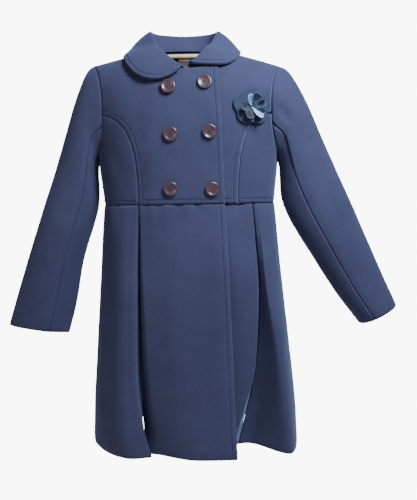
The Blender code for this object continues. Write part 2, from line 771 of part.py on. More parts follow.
def collar(cloth):
    def half(rows, side, count):
        along = [r[0] for r in rows]
        values = np.array([r[1:] for r in rows]) / 1000
        columns = []
        for k in range(count + 1):
            a = -1 + 2 * k / count
            v = curve(along, values, a)
            start = 0.03 if k == 0 else 0
            columns.append(collar_column(a + start, side, v[:3], v[3:]))
        return columns

    right = half(COLLAR_RIGHT, -1, 12)
    left = half(COLLAR_LEFT, 1, 12)
    columns = [*right[:-1], *reversed(left)]
    piece = Piece("collar", np.array(columns).transpose(1, 0, 2), cloth)
    if piece.normals[0, len(columns) // 2, 1] > 0:
        piece.normals = -piece.normals
    # The table gives the underside, so the wall grows towards the side that shows.
    outer = piece.points + piece.normals * (CLOTH * np.minimum(piece.reach, 1.1))[..., None]
    return outer, piece.points


# Trims


def on_front(x, z, out):
    """A point that far out from the wearer's front, and the way out there."""
    level = (z - CHEST_Z) / (CHEST_Z - WAIST_Z)
    if z > CHEST_Z:
        level = (z - CHEST_Z) / (ridge(x) - CHEST_Z)
    base = body(x - CENTRE_X, level)
    _, way = outside(base)
    return base + way * out, way


def button(name, x, z, plastic, collection):
    """A two-hole button with a raised rim and a dished middle, a hair off the cloth."""
    profile = [  # radius and height, from the front's middle over the rim to the back's middle
        (0.0, 0.62),
        (0.56, 0.62),
        (0.76, 0.98),
        (0.92, 0.94),
        (1.0, 0.55),
        (0.92, 0.0),
        (0.0, 0.0),
    ]
    mesh = bpy.data.meshes.new(name)
    points = [(r * BUTTON_RADIUS, 0, h * BUTTON_THICK) for r, h in profile]
    mesh.from_pydata(points, [(k, k + 1) for k in range(len(points) - 1)], [])
    obj = bpy.data.objects.new(name, mesh)
    collection.objects.link(obj)
    screw = obj.modifiers.new("turn", "SCREW")
    screw.steps = screw.render_steps = 16
    screw.use_merge_vertices = True
    screw.merge_threshold = 0.00005
    base, way = on_front(x, z, lap_lift(x) + 0.0009)
    obj.matrix_world = turned_to(base, way)
    obj.data.materials.append(plastic)
    cutters = bpy.data.collections["cutters"]
    for k, hole_y in enumerate((-0.0017, 0.0017)):
        bpy.ops.mesh.primitive_cylinder_add(vertices=6, radius=0.0009, depth=0.02)
        hole = bpy.context.active_object
        hole.name = f"{name}_hole_{k + 1}"
        for other in hole.users_collection:
            other.objects.unlink(hole)
        cutters.objects.link(hole)
        hole.parent = obj
        hole.location = (0, hole_y, 0)
        hole.hide_render = True
        hole.display_type = "WIRE"
        cut = obj.modifiers.new(f"hole {k + 1}", "BOOLEAN")
        cut.operation = "DIFFERENCE"
        cut.object = hole
    return obj


def turned_to(place, way):
    """A placement whose Z axis points along way and whose Y axis stays up."""
    turn = Vector(way).to_track_quat("Z", "Y").to_matrix().to_4x4()
    turn.translation = Vector(place)
    return turn


def flower_base(felt, collection):
    """The flower's lower layer: five round petals in one piece that follows the chest."""
    rings, around = 3, 30
    grid = []
    for i in range(rings + 1):
        row = []
        for k in range(around):
            angle = 2 * math.pi * k / around
            rim = 0.0245 + 0.0060 * abs(math.cos(2.5 * angle)) ** 0.6
            r = rim * (0.10 + 0.90 * i / rings)
            row.append((FLOWER_X + r * math.sin(angle), FLOWER_Z + r * math.cos(angle), i / rings))
        grid.append(row)
    bm = bmesh.new()
    layers = []
    for out, lift in ((0.0020, 0.0030), (0.0005, 0.0030)):
        layer = []
        for row in grid:
            layer.append([bm.verts.new(on_front(x, z, out + lift * s**2)[0]) for x, z, s in row])
        layers.append(layer)
    for layer in layers:
        for i in range(rings):
            for k in range(around):
                m = (k + 1) % around
                bm.faces.new([layer[i][k], layer[i][m], layer[i + 1][m], layer[i + 1][k]])
        bm.faces.new(layer[0])
    for k in range(around):
        m = (k + 1) % around
        bm.faces.new([layers[0][-1][k], layers[0][-1][m], layers[1][-1][m], layers[1][-1][k]])
    return new_object("flower_base", bm, felt, collection)


def petal(name, near, row, curl, felt, collection):
    """A petal that rises from the flower's base. curl lifts its two long edges, or drops them."""
    direction, spread, far, high = row
    base, way = on_front(FLOWER_X, FLOWER_Z, 0.0)
    frame = np.array(turned_to(base, way))
    rows = []
    for i in range(6):
        v = i / 5
        row = []
        for j in range(7):
            u = j / 3 - 1
            radius = near + (far - near) * v * (1 - 0.16 * u * u * v)
            half = math.radians(spread) * (0.75 + 0.25 * math.sin(v * math.pi))
            angle = math.radians(direction) + u * half
            height = PETAL_SEAT + (high - PETAL_SEAT) * v**1.5 + curl * u * u * v
            row.append([radius * math.sin(angle), radius * math.cos(angle), height])
        rows.append(row)
    local = Piece(name, rows, felt, thick=0.0012)
    if local.normals[2, 3, 2] < 0:
        local.normals = -local.normals
    outer = local.points @ frame[:3, :3].T + frame[:3, 3]
    inner = (local.points - local.normals * local.thick) @ frame[:3, :3].T + frame[:3, 3]
    return wall(name, outer, inner, felt, collection)


def label(cloth, collection):
    """A bare label that lies inside the back of the neck."""
    rows = []
    for i in range(4):
        z = LABEL_TOP - LABEL_HEIGHT * i / 3
        row = []
        for j in range(7):
            off = LABEL_HALF * (j / 3 - 1)
            point = body(off, (z - CHEST_Z) / (ridge(CENTRE_X + off) - CHEST_Z), back=True)
            row.append(point)
        rows.append(row)
    piece = Piece("label", rows, cloth, outward=-1)
    inside = piece.normals * -1 if piece.normals[1, 3, 1] > 0 else piece.normals
    outer = piece.points + inside * (CLOTH + LABEL_GAP + LABEL_THICK)
    inner = piece.points + inside * (CLOTH + LABEL_GAP)
    return wall("label", outer, inner, cloth, collection)


def hanger_bar(wood, collection):
    """The round bar in the neck, whose arms slope down under the shoulders."""
    data = bpy.data.curves.new("hanger_bar", "CURVE")
    data.dimensions = "3D"
    data.bevel_depth = BAR_RADIUS
    data.bevel_resolution = 3
    data.use_fill_caps = True
    spline = data.splines.new("POLY")
    below = CLOTH + SEAM + BAR_RADIUS + 0.0006
    points = [(-BAR_STRAIGHT * 0.5, 0.0), (0.0, 0.0), (BAR_STRAIGHT * 0.5, 0.0)]
    arm = [BAR_STRAIGHT + (BAR_REACH - BAR_STRAIGHT) * k / 6 for k in range(7)]
    for off in arm:
        for side in (-1, 1):
            x = CENTRE_X + side * off
            points.append((x, min(0.0, ridge(x) - below)))
    points.sort()
    spline.points.add(len(points) - 1)
    for point, (x, z) in zip(spline.points, points):
        point.co = (x, 0, z, 1)
    obj = bpy.data.objects.new("hanger_bar", data)
    data.materials.append(wood)
    collection.objects.link(obj)
    return obj


def build():
    for obj in list(bpy.data.objects):
        bpy.data.objects.remove(obj, do_unlink=True)
    coat = bpy.data.collections.new("winter_coat")
    cutters = bpy.data.collections.new("cutters")
    for made in (coat, cutters):
        bpy.context.scene.collection.children.link(made)
    cutters.hide_render = True

    navy = material("navy_coating", (0.055, 0.065, 0.150), 0.9)
    plum = material("plum_plastic", (0.075, 0.030, 0.050), 0.3)
    felt = material("navy_felt", (0.035, 0.050, 0.110), 0.95)
    pale = material("pale_felt", (0.170, 0.240, 0.420), 0.9)
    satin = material("label_satin", (0.600, 0.300, 0.320), 0.5)
    wood = material("pale_wood", (0.720, 0.560, 0.300), 0.5)

    front_right = lifted(bodice_front(-1, LAP_WAIST, "bodice_front_right", navy))
    front_left = bodice_front(1, LAP, "bodice_front_left", navy)
    side_right = bodice_side(-1, "bodice_side_right", navy)
    side_left = bodice_side(1, "bodice_side_left", navy)
    back = bodice_back(navy)
    panels = skirt(navy)
    sleeve_right = sleeve(-1, ("upper_sleeve_right", "under_sleeve_right"), navy)
    sleeve_left = sleeve(1, ("upper_sleeve_left", "under_sleeve_left"), navy)
    upper_body = [front_right, front_left, side_right, side_left, back]
    for piece in upper_body:
        piece.normals[-1, :, 2] = 0
        piece.normals[-1] /= np.linalg.norm(piece.normals[-1], axis=1, keepdims=True)
    share_normals([*upper_body, *sleeve_right, *sleeve_left])
    share_normals(panels)
    seams = {
        "bodice_front_right": ["top", "bottom", "right"],
        "bodice_front_left": ["top", "bottom", "right"],
        "bodice_side_right": ["top", "bottom", "left", "right"],
        "bodice_side_left": ["top", "bottom", "left", "right"],
        "bodice_back": ["top", "bottom", "left", "right"],
        "skirt_front_right": ["top", "right~"],
        "skirt_side_right": ["top", "left~", "right"],
        "skirt_back": ["top", "left", "right"],
        "skirt_side_left": ["top", "left", "right~"],
        "skirt_front_left": ["top", "left~"],
    }
    for piece in [*upper_body, *panels, *sleeve_right, *sleeve_left]:
        edges = seams.get(piece.name, ["top", "left", "right"])
        outer, inner = piece.grids(edges)
        wall(piece.name, outer, inner, piece.material, coat, seats=piece.points)

    outer, inner = collar(navy)
    wall("collar", outer, inner, navy, coat)
    for k, (x, z) in enumerate(BUTTONS):
        button(f"button_{k + 1}", x, z, plum, coat)
    flower_base(felt, coat)
    for k, row in enumerate(PETALS):
        petal(f"flower_petal_{k + 1}", PETAL_ROOT, row, 0.003, felt, coat)
    for k, row in enumerate(HEARTS):
        petal(f"flower_heart_{k + 1}", HEART_ROOT, row, -0.001, pale, coat)
    label(satin, coat)
    hanger_bar(wood, coat)


build()
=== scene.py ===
"""Looks of a girl's double-breasted winter coat on a round hanger bar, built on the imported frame.

Metres, +Z up. The coat's front faces -Y and +X is the wearer's left. Cloth pieces start from the
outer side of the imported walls, so they stay where the solids are.
"""
import math

import bmesh
import bpy
import numpy as np
from mathutils import Matrix, Vector, noise
from mathutils.bvhtree import BVHTree


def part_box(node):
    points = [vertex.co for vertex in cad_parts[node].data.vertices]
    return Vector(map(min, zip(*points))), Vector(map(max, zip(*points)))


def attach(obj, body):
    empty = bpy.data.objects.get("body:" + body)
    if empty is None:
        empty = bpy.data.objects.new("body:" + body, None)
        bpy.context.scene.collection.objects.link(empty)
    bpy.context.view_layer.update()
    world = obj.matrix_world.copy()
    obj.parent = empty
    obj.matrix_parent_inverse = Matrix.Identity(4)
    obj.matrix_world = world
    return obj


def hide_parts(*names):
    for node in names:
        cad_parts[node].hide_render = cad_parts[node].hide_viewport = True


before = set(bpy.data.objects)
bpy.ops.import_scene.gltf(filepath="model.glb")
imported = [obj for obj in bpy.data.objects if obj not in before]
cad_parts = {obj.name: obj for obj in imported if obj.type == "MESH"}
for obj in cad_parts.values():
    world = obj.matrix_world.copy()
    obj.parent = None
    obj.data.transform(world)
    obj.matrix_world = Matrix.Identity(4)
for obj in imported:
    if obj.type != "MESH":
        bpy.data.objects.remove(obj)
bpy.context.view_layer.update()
MM = 0.001


# Camera
# A phone held a little over a metre away, level with the waist seam, tipped down a little
# and turned by one degree.

EYE = Vector((0.0365, -1.2, -0.2480))
TIPPED_DOWN = math.radians(4.2)
TURNED = math.radians(1.0)
LENS = 49.09  # on a 36 mm tall picture

view = bpy.data.cameras.new("camera")
view.lens = LENS
view.sensor_fit = "VERTICAL"
view.sensor_height = 36
camera = bpy.data.objects.new("camera", view)
level = Matrix.Rotation(math.radians(90) - TIPPED_DOWN, 4, "X")
camera.matrix_world = Matrix.Translation(EYE) @ level @ Matrix.Rotation(-TURNED, 4, "Z")
bpy.context.scene.collection.objects.link(camera)
bpy.context.scene.camera = camera


# Coating
# A thick napped wool blend. The weave hardly shows under the nap, which catches light at a
# grazing angle. Seams lie in a shallow groove, and topstitching pulls a fine line beside them.

COAT_DEEP = (0.032, 0.029, 0.068)
COAT_LIGHT = (0.048, 0.045, 0.102)
WELT = 7.5 * MM  # distance of the topstitching from its edge


def node(tree, kind, place, **values):
    """A node with its plain settings and its input values."""
    made = tree.nodes.new(kind)
    made.location = place
    for name, value in values.items():
        if name in made.inputs:
            made.inputs[name].default_value = value
        else:
            setattr(made, name, value)
    return made


def coat_material(name="coating", deep=COAT_DEEP, light=COAT_LIGHT, nap=1.0, seams=True):
    made = bpy.data.materials.new(name)
    made.use_nodes = True
    tree = made.node_tree
    link = tree.links.new
    shader = tree.nodes["Principled BSDF"]
    shader.inputs["Roughness"].default_value = 0.92
    shader.inputs["Specular IOR Level"].default_value = 0.25
    shader.inputs["Sheen Weight"].default_value = 0.22
    shader.inputs["Sheen Roughness"].default_value = 0.45
    shader.inputs["Sheen Tint"].default_value = (0.45, 0.55, 0.95, 1)
    place = node(tree, "ShaderNodeTexCoord", (-1500, 0))

    cloudy = node(tree, "ShaderNodeTexNoise", (-1200, 300), Scale=14.0, Detail=3.0)
    fleck = node(tree, "ShaderNodeTexNoise", (-1200, 50), Scale=900.0, Detail=2.0)
    streak = node(tree, "ShaderNodeMapping", (-1350, -200), Scale=(1.0, 1.0, 0.35))
    tuft = node(tree, "ShaderNodeTexNoise", (-1200, -200), Scale=420.0, Detail=3.0)
    for texture in (cloudy, fleck):
        link(place.outputs["Object"], texture.inputs["Vector"])
    link(place.outputs["Object"], streak.inputs["Vector"])
    link(streak.outputs["Vector"], tuft.inputs["Vector"])

    share = node(tree, "ShaderNodeMath", (-950, 250), operation="MULTIPLY_ADD")
    share.inputs[1].default_value = 0.6
    link(cloudy.outputs["Fac"], share.inputs[0])
    link(fleck.outputs["Fac"], share.inputs[2])
    spread = node(tree, "ShaderNodeMapRange", (-780, 250))
    spread.inputs["From Min"].default_value = 0.55
    spread.inputs["From Max"].default_value = 1.05
    link(share.outputs[0], spread.inputs["Value"])
    tone = node(tree, "ShaderNodeMix", (-600, 250), data_type="RGBA")
    tone.inputs["A"].default_value = (*deep, 1)
    tone.inputs["B"].default_value = (*light, 1)
    link(spread.outputs["Result"], tone.inputs["Factor"])
    link(tone.outputs["Result"], shader.inputs["Base Color"])

    bump = node(tree, "ShaderNodeBump", (-300, -200), Strength=0.35 * nap, Distance=0.0006)
    link(tuft.outputs["Fac"], bump.inputs["Height"])
    link(bump.outputs["Normal"], shader.inputs["Normal"])
    if not seams:
        return made

    # The height beside a seam, from each point's distance to it in millimetres
    edge = node(tree, "ShaderNodeAttribute", (-1200, -500), attribute_name="from_stitched")
    profile = node(tree, "ShaderNodeFloatCurve", (-950, -500))
    line = profile.mapping.curves[0]
    points = [(0.0, 0.35), (0.08, 0.80), (0.45, 0.84), (0.62, 0.72), (0.68, 0.30), (0.76, 0.62), (0.9, 0.66), (1.0, 0.66)]
    line.points[0].location = points[0]
    line.points[1].location = points[-1]
    for x, y in points[1:-1]:
        line.points.new(x, y)
    profile.mapping.update()
    link(edge.outputs["Fac"], profile.inputs["Value"])
    plain = node(tree, "ShaderNodeAttribute", (-1200, -750), attribute_name="from_seam")
    groove = node(tree, "ShaderNodeMapRange", (-950, -750), interpolation_type="SMOOTHSTEP")
    groove.inputs["From Max"].default_value = 0.22
    link(plain.outputs["Fac"], groove.inputs["Value"])
    both = node(tree, "ShaderNodeMath", (-750, -600), operation="MULTIPLY_ADD")
    both.inputs[1].default_value = 0.55
    link(groove.outputs["Result"], both.inputs[0])
    link(profile.outputs["Value"], both.inputs[2])
    sewn = node(tree, "ShaderNodeBump", (-550, -500), Strength=1.0, Distance=0.0034)
    link(both.outputs[0], sewn.inputs["Height"])
    link(sewn.outputs["Normal"], bump.inputs["Normal"])
    return made


coating = coat_material()


# Cloth walls
# Each cut piece keeps the outer side of its packed wall, smoothed, with its listed creases pressed
# in, and gets the coating's thickness back on its inner side.

CLOTH = 2.2 * MM
MIDDLE = 0.0045
CREASED = 1.5  # all creases together
SHORT = 4.5 * MM  # no edge through a wall is longer
SEAM_CLOSED = 0.25 * MM  # how far a seam's edge is let out to meet its neighbour


def rim_of(bm):
    """The narrow faces round a wall's edge, found by walking round it. Each step crosses a flat
    pair of triangles, from one short edge through the wall to the next."""
    bm.normal_update()
    tree = BVHTree.FromBMesh(bm)

    def depth(face):
        hit = tree.ray_cast(face.calc_center_median() - face.normal * 0.0001, -face.normal)
        return hit[3] or 0.0

    def step(face, across):
        """The other triangle of the pair, and the next short edge, or nothing."""
        far = next(v for v in face.verts if v not in across.verts)
        slants = sorted((e for e in face.edges if e is not across), key=lambda e: e.calc_face_angle(9.0))
        for slant in slants:
            other = next(f for f in slant.link_faces if f is not face)
            near = next(v for v in other.verts if v not in slant.verts)
            short = next(e for e in other.edges if far in e.verts and near in e.verts)
            if short.calc_length() < SHORT:
                return other, short
        return None

    for start in sorted(bm.faces, key=depth, reverse=True)[:60]:
        across = min(start.edges, key=lambda e: e.calc_length())
        face, rim = start, []
        while len(rim) < 400:
            found = step(face, across)
            if found is None:
                break
            other, across = found
            rim += [face, other]
            face = next(f for f in across.link_faces if f is not other)
            if face is start:
                return rim
    raise ValueError("no closed rim was found")


def skin_of(name, outward):
    """The outer side of a packed wall in quads. outward(centre) gives a way out there."""
    bm = bmesh.new()
    bm.from_mesh(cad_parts[name].data)
    bmesh.ops.remove_doubles(bm, verts=bm.verts[:], dist=0.00002)
    bmesh.ops.delete(bm, geom=rim_of(bm), context="FACES")
    sides = []
    seen = set()
    for face in bm.faces:
        if face in seen:
            continue
        group, front = [], [face]
        seen.add(face)
        while front:
            here = front.pop()
            group.append(here)
            for edge in here.edges:
                for beside in edge.link_faces:
                    if beside not in seen:
                        seen.add(beside)
                        front.append(beside)
        score = sum(f.calc_area() * f.normal.dot(outward(f.calc_center_median())) for f in group)
        sides.append((score, group))
    sides.sort(key=lambda side: side[0])
    drop = [f for side in sides[:-1] for f in side[1]]
    bmesh.ops.delete(bm, geom=drop, context="FACES")
    bmesh.ops.join_triangles(
        bm,
        faces=bm.faces[:],
        angle_face_threshold=math.radians(60),
        angle_shape_threshold=math.radians(89),
    )
    return bm


def smooth_mesh(name, bm, levels=2):
    """The mesh after Catmull-Clark subdivision, as a new mesh."""
    rough = bpy.data.meshes.new(name)
    bm.to_mesh(rough)
    bm.free()
    draft = bpy.data.objects.new(name, rough)
    bpy.context.scene.collection.objects.link(draft)
    finer = draft.modifiers.new("smooth", "SUBSURF")
    finer.levels = finer.render_levels = levels
    finer.boundary_smooth = "PRESERVE_CORNERS"
    shape = draft.evaluated_get(bpy.context.evaluated_depsgraph_get())
    mesh = bpy.data.meshes.new_from_object(shape)
    bpy.data.objects.remove(draft)
    mesh.name = name
    return mesh


def points_of(mesh):
    found = np.empty(len(mesh.vertices) * 3)
    mesh.vertices.foreach_get("co", found)
    return found.reshape(-1, 3)


def normals_of(mesh):
    found = np.empty(len(mesh.vertices) * 3)
    mesh.vertex_normals.foreach_get("vector", found)
    return found.reshape(-1, 3)


def edges_of_sheet(mesh):
    """The sheet's border as chains of points between its corners."""
    bm = bmesh.new()
    bm.from_mesh(mesh)
    border = [e for e in bm.edges if e.is_boundary]
    corners = set()
    for vert in {v for e in border for v in e.verts if len(v.link_faces) == 1}:
        a, b = [e.other_vert(vert).co - vert.co for e in vert.link_edges if e.is_boundary][:2]
        if a.angle(b) < math.radians(135):
            corners.add(vert)
    chains, used = [], set()
    for start in corners:
        for edge in start.link_edges:
            if not edge.is_boundary or edge in used:
                continue
            chain, here, along = [start], start, edge
            while True:
                used.add(along)
                here = along.other_vert(here)
                chain.append(here)
                if here in corners:
                    break
                along = next(e for e in here.link_edges if e.is_boundary and e not in used)
            chains.append(np.array([v.co[:] for v in chain]))
    bm.free()
    return chains


def distance_to(points, chains):
    """How far each point lies from the nearest of the chains."""
    best = np.full(len(points), 9.0)
    for chain in chains:
        for a, b in zip(chain, chain[1:]):
            way = b - a
            size = max(float(way @ way), 1e-12)
            share = np.clip((points - a) @ way / size, 0, 1)
            gap = np.linalg.norm(points - (a + share[:, None] * way), axis=1)
            np.minimum(best, gap, out=best)
    return best


def pressed(points, normals, creases):
    """Moves points along their normals by soft creases. Each crease runs between two places seen
    from the front, and has a half-width, a height (below 0 is a trough), the side it lies on
    (-1 front, 1 back) and whether it starts at full height in a seam."""
    moved = np.zeros(len(points))
    flat = points[:, [0, 2]] / MM
    for (x0, z0), (x1, z1), wide, high, side, rooted in creases:
        start, end = np.array([x0, z0]), np.array([x1, z1])
        way = end - start
        t = np.clip((flat - start) @ way / float(way @ way), 0, 1)
        gap = np.linalg.norm(flat - (start + t[:, None] * way), axis=1)
        fade = (1 - t) ** 1.3 if rooted else np.sin(np.pi * np.clip(0.08 + t * 0.92, 0, 1)) ** 0.8
        faces = np.clip(normals[:, 1] * side * 2.5, 0, 1)
        moved += CREASED * high * MM * np.exp(-((gap / wide) ** 2)) * fade * faces
    return points + normals * moved[:, None]


def rumpled(points, normals, amount, size):
    """Points moved by the cloth's faint unevenness, the same for neighbouring pieces."""
    moved = [noise.noise(Vector(p) / size) + 0.5 * noise.noise(Vector(p) * 2.3 / size) for p in points]
    return points + normals * (np.array(moved) * amount)[:, None]


def body_way(centre):
    return Vector((centre.x - MIDDLE, centre.y, 0))


def far_from(name):
    """A way out of a tube such as a sleeve: away from the middle of the piece."""
    low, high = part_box(name)
    middle = (low + high) / 2

    def way(centre):
        return centre - middle

    return way


finished = {}  # name of each cloth piece: its outer mesh, for what is sewn on it


def where(test):
    """Picks the stretches of a border whose places pass a test of x, y and z in millimetres."""

    def pick(chains):
        found = []
        for chain in chains:
            run = []
            for a, b in zip(chain, chain[1:]):
                if test(*((a + b) / 2 / MM)):
                    run = [*run, b] if run else [a, b]
                elif run:
                    found.append(np.array(run))
                    run = []
            if run:
                found.append(np.array(run))
        return found

    return pick


def cloth(
    name, outward, flat, area, rests_on, creases=(), stitched=where(lambda x, y, z: False),
    plain=where(lambda x, y, z: True), rumple=0.45, material=coating, thick=CLOTH,
    slot="navy_coating", held="hung",
):
    """One cut piece. stitched and plain pick its topstitched and its plain seams from its border."""
    mesh = smooth_mesh(name, skin_of(name, outward))
    points, normals = points_of(mesh), normals_of(mesh)
    chains = edges_of_sheet(mesh)
    sewn, closed = stitched(chains), plain(chains)
    from_stitched = distance_to(points, sewn)
    from_seam = distance_to(points, sewn + closed)
    points = rumpled(points, normals, rumple * MM, 0.055)
    points = pressed(points, normals, creases)
    dip = np.exp(-((from_seam / thick) ** 2)) * 0.2 * thick
    points = points - normals * dip[:, None]
    ends = np.array([e.vertices[:] for e in mesh.edges])
    ends = np.concatenate([ends, ends[:, ::-1]])
    ends = ends[(from_seam[ends[:, 0]] < 1e-5) & (from_seam[ends[:, 1]] > 1e-5)]
    out = np.zeros_like(points)
    np.add.at(out, ends[:, 0], points[ends[:, 0]] - points[ends[:, 1]])
    points = points + out / np.maximum(np.linalg.norm(out, axis=1, keepdims=True), 1e-9) * SEAM_CLOSED
    mesh.vertices.foreach_set("co", points.ravel())
    for label, values in (("from_stitched", from_stitched), ("from_seam", from_seam)):
        layer = mesh.attributes.new(label, "FLOAT", "POINT")
        layer.data.foreach_set("value", np.clip(values / (12 * MM), 0, 1))
    mesh.shade_smooth()
    mesh.update()
    finished[name] = (mesh.copy(), sewn)
    mesh.materials.clear()
    mesh.materials.append(material)
    piece = bpy.data.objects.new(f"{name}_cloth", mesh)
    bpy.context.scene.collection.objects.link(piece)
    wall = piece.modifiers.new("thickness", "SOLIDIFY")
    wall.thickness = thick
    wall.offset = -1
    soft = piece.modifiers.new("edge", "BEVEL")
    soft.width = thick * 0.22
    soft.segments = 2
    soft.limit_method = "ANGLE"
    soft.angle_limit = math.radians(62)
    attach(piece, "root")
    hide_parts(name)
    return piece


# Bodice
# Two fronts with curved princess seams, a side piece beside each, and a one-piece back. The
# right front overlaps the left; its edge, the princess seams and the waist are topstitched.

cloth(
    "bodice_front_right", body_way, (0.200, 0.285), 0.0451, ["bodice_front_left", "hanger_bar"],
    creases=[
        ((-62, -60), (40, -120), 22, -0.9, -1, False),
        ((30, -62), (58, -140), 12, 0.7, -1, False),
        ((-120, -60), (-60, -150), 26, 0.8, -1, False),
        ((-132, -150), (-95, -205), 16, -0.9, -1, True),
        ((-70, -240), (10, -215), 14, -0.5, -1, False),
        ((20, -150), (52, -205), 12, -0.6, -1, False),
    ],
    stitched=where(lambda x, y, z: z < -253 or x > 52 and z > -253 and y < -40 or x < -70 and z < -106),
)
cloth(
    "bodice_front_left", body_way, (0.200, 0.285), 0.0446, ["hanger_bar", "skirt_front_left"],
    creases=[
        ((150, -70), (118, -130), 14, -1.0, -1, False),
        ((78, -70), (98, -200), 18, 0.6, -1, False),
        ((98, -245), (70, -200), 10, -0.6, -1, True),
    ],
    stitched=where(lambda x, y, z: z < -253 or x > 84 and z < -106),
)
for name, creases in (
    ("bodice_side_right", [((-128, -150), (-105, -215), 11, -0.8, -1, False)]),
    ("bodice_side_left", [((138, -140), (118, -220), 11, -0.8, -1, False)]),
):
    cloth(
        name, body_way, (0.095, 0.155), 0.0131, ["bodice_back"], creases=creases,
        stitched=where(lambda x, y, z: z < -253),
    )
cloth(
    "bodice_back", body_way, (0.375, 0.275), 0.0956, ["hanger_bar"],
    creases=[
        ((5, -50), (3, -210), 30, -1.2, 1, False),
        ((-140, -150), (-62, -198), 15, -1.3, 1, True),
        ((150, -146), (70, -192), 16, -1.1, 1, True),
        ((-84, -254), (-70, -205), 10, 0.9, 1, True),
        ((40, -254), (52, -214), 11, 0.8, 1, True),
        ((96, -254), (92, -222), 9, -0.8, 1, True),
    ],
    stitched=where(lambda x, y, z: z < -253),
)


# Skirt
# Three wide panels and two side panels under the waist seam. At each princess line the cloth
# folds inwards into a deep pleat. The seam gathers the cloth in short uneven puckers.

cloth(
    "skirt_front_right", body_way, (0.200, 0.420), 0.0700, ["skirt_front_left"],
    creases=[
        ((-64, -256), (-66, -300), 7, -1.0, -1, True),
        ((-44, -256), (-45, -312), 8, -1.2, -1, True),
        ((-10, -257), (-13, -330), 9, -1.3, -1, True),
        ((19, -259), (50, -282), 7, -1.7, -1, True),
        ((-28, -300), (-18, -650), 20, 1.5, -1, False),
        ((15, -330), (26, -650), 22, -1.5, -1, False),
        ((50, -300), (58, -640), 12, 1.0, -1, False),
    ],
    stitched=where(lambda x, y, z: x > 60 and z < -256 and z > -666),
)
cloth(
    "skirt_front_left", body_way, (0.205, 0.415), 0.0739, ["bodice_front_left"],
    creases=[
        ((68, -258), (80, -282), 6, -1.4, -1, True),
        ((89, -260), (92, -292), 7, -1.2, -1, True),
        ((86, -300), (90, -520), 14, 1.0, -1, False),
    ],
)
cloth(
    "skirt_side_left", body_way, (0.170, 0.415), 0.0581, ["bodice_side_left"],
    creases=[
        ((128, -290), (132, -345), 10, -2.2, -1, False),
        ((140, -280), (162, -640), 14, 1.2, -1, False),
        ((150, -258), (152, -300), 8, -1.0, -1, True),
    ],
)
cloth(
    "skirt_side_right", body_way, (0.200, 0.420), 0.0680, ["bodice_side_right"],
    creases=[
        ((-100, -270), (-110, -620), 12, 1.3, -1, False),
        ((-128, -300), (-142, -630), 12, -1.5, -1, False),
        ((-112, -257), (-113, -296), 8, -1.0, -1, True),
    ],
)
cloth(
    "skirt_back", body_way, (0.470, 0.415), 0.1803, ["bodice_back"],
    creases=[
        ((-104, -258), (-118, -650), 16, 1.6, 1, False),
        ((-62, -290), (-70, -655), 18, -1.8, 1, False),
        ((-14, -262), (-18, -650), 17, 1.4, 1, False),
        ((34, -300), (42, -655), 19, -1.7, 1, False),
        ((84, -262), (98, -650), 17, 1.6, 1, False),
        ((-82, -256), (-84, -300), 7, -1.1, 1, True),
        ((12, -256), (13, -316), 8, -1.3, 1, True),
        ((60, -256), (63, -292), 7, -1.0, 1, True),
    ],
)


# Sleeves
# Two-piece sleeves: a wide upper piece over the arm and a narrow one under it. They hang from
# the armholes, creased where the elbow bends and along the inner seam.


def away_from_line(start, end):
    """A way out of a sleeve: away from the line through its middle."""
    start, end = Vector(start), Vector(end)
    line = (end - start).normalized()

    def way(centre):
        off = centre - start
        return off - line * off.dot(line)

    return way


right_way = away_from_line((-0.158, -0.003, -0.105), (-0.263, -0.013, -0.4675))
left_way = away_from_line((0.169, -0.003, -0.107), (0.3305, -0.013, -0.451))
cloth(
    "upper_sleeve_left", left_way, (0.235, 0.460), 0.0795, ["bodice_front_left", "bodice_back"],
    creases=[
        ((158, -92), (180, -126), 8, -2.0, -1, False),
        ((173, -114), (176, -247), 10, 1.5, -1, False),
        ((211, -130), (278, -346), 15, -2.3, -1, False),
        ((232, -262), (270, -240), 9, -1.2, -1, False),
        ((300, -380), (322, -360), 9, 0.9, -1, False),
        ((196, -120), (262, -330), 16, -2.0, 1, False),
        ((240, -250), (276, -262), 10, 1.4, 1, False),
        ((286, -340), (316, -322), 9, -1.2, 1, False),
    ],
)
cloth(
    "upper_sleeve_right", right_way, (0.235, 0.450), 0.0758, ["bodice_front_right", "bodice_back"],
    creases=[
        ((-146, -165), (-160, -215), 13, -2.4, -1, False),
        ((-138, -211), (-181, -295), 14, 1.8, -1, False),
        ((-177, -339), (-232, -466), 10, -1.8, -1, False),
        ((-222, -252), (-182, -276), 9, -1.4, -1, False),
        ((-250, -330), (-222, -350), 10, 1.0, -1, False),
        ((-178, -120), (-214, -320), 16, -1.9, 1, False),
        ((-224, -252), (-190, -268), 10, 1.3, 1, False),
        ((-258, -352), (-236, -340), 9, -1.1, 1, False),
    ],
)
cloth("under_sleeve_left", left_way, (0.120, 0.330), 0.0340, ["upper_sleeve_left"], rumple=0.6)
cloth("under_sleeve_right", right_way, (0.100, 0.330), 0.0290, ["upper_sleeve_right"], rumple=0.6)


# Collar
# A round-cornered collar cut in one piece, folded over its own stand. Its edge is topstitched
# all the way round.


def collar_way(centre):
    return Vector((centre.x - MIDDLE, centre.y, 0.06))


def leaf_edge(chains):
    """The collar's outer edge, from its left front end round the back to its right front end."""
    longest = max(chains, key=len)
    if np.linalg.norm(longest[0] - (0.012, -0.079, -0.026)) > 0.01:
        longest = longest[::-1]
    end = int(np.argmin(np.linalg.norm(longest - (-0.006, -0.083, -0.038), axis=1)))
    return [longest[: end + 1]]


